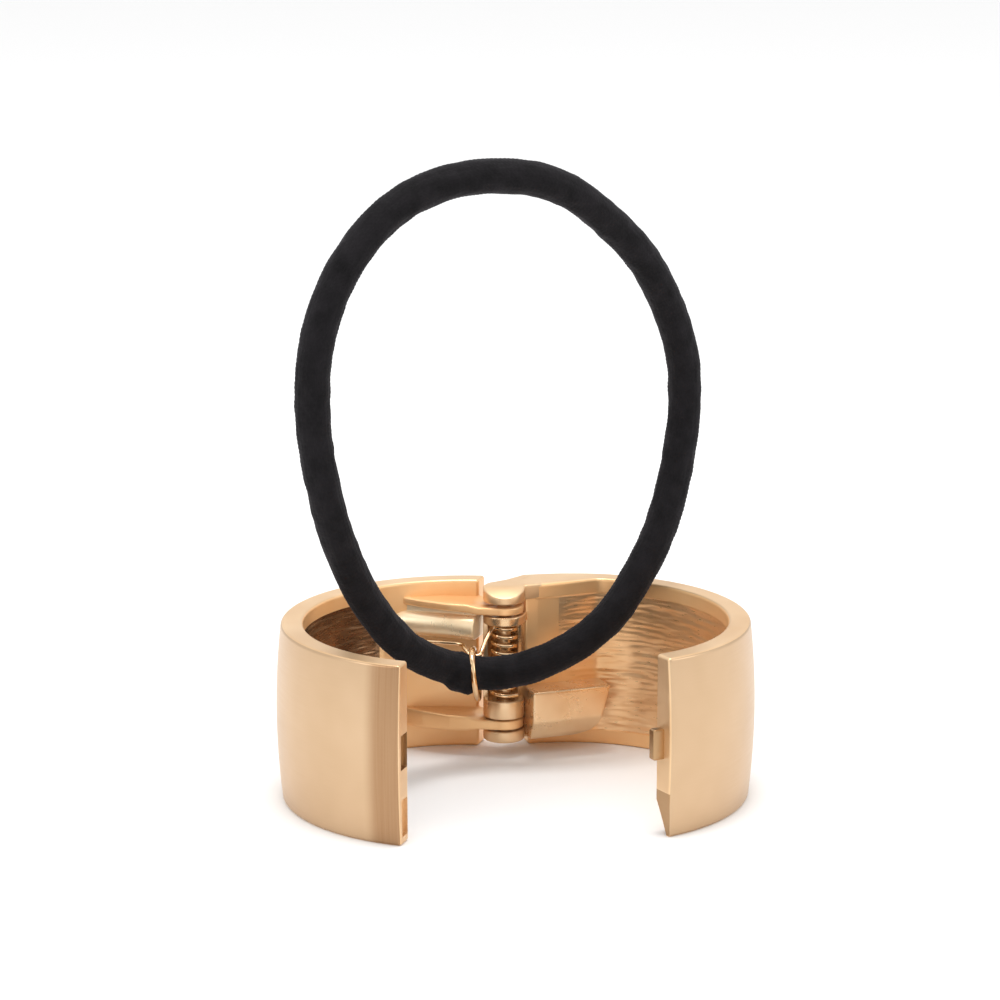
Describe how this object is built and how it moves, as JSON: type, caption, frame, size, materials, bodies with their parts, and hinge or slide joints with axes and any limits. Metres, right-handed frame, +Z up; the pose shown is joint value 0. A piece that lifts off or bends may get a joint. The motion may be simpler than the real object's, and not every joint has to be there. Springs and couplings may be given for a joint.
{
  "type": "ponytail cuff",
  "caption": "Hinged, spring-loaded metal ponytail cuff, shown open, with a knitted elastic loop held by a jump ring inside it.",
  "frame": {"origin": "middle of the open cuff's footprint, without the elastic, on the surface it stands on", "axes": "+Z up along the hinge pin, +Y away from the opening, towards the hinge, +X to the right seen from the opening"},
  "size_m": [0.0533, 0.0394, 0.0709],
  "materials": {
    "cast_metal": "satin brushed outside, rough cast inside, gold plated",
    "bright_metal": "polished, gold plated",
    "black_knit": "matt fine knit"
  },
  "bodies": {
    "left": {"left_shell": "cast_metal", "hinge_pin": "bright_metal", "coil_spring": "bright_metal", "jump_ring": "bright_metal", "elastic_loop": "black_knit"},
    "right": {"right_shell": "cast_metal"}
  },
  "joints": [
    {"name": "cuff_hinge", "type": "hinge", "parent": "left", "child": "right", "pos_m": [0, 0.0134, 0], "axis": [0, 0, 1], "range_deg": [-46, 0], "stiffness_Nm_per_rad": 0.01, "deforming": ["coil_spring", "elastic_loop"]}
  ]
}
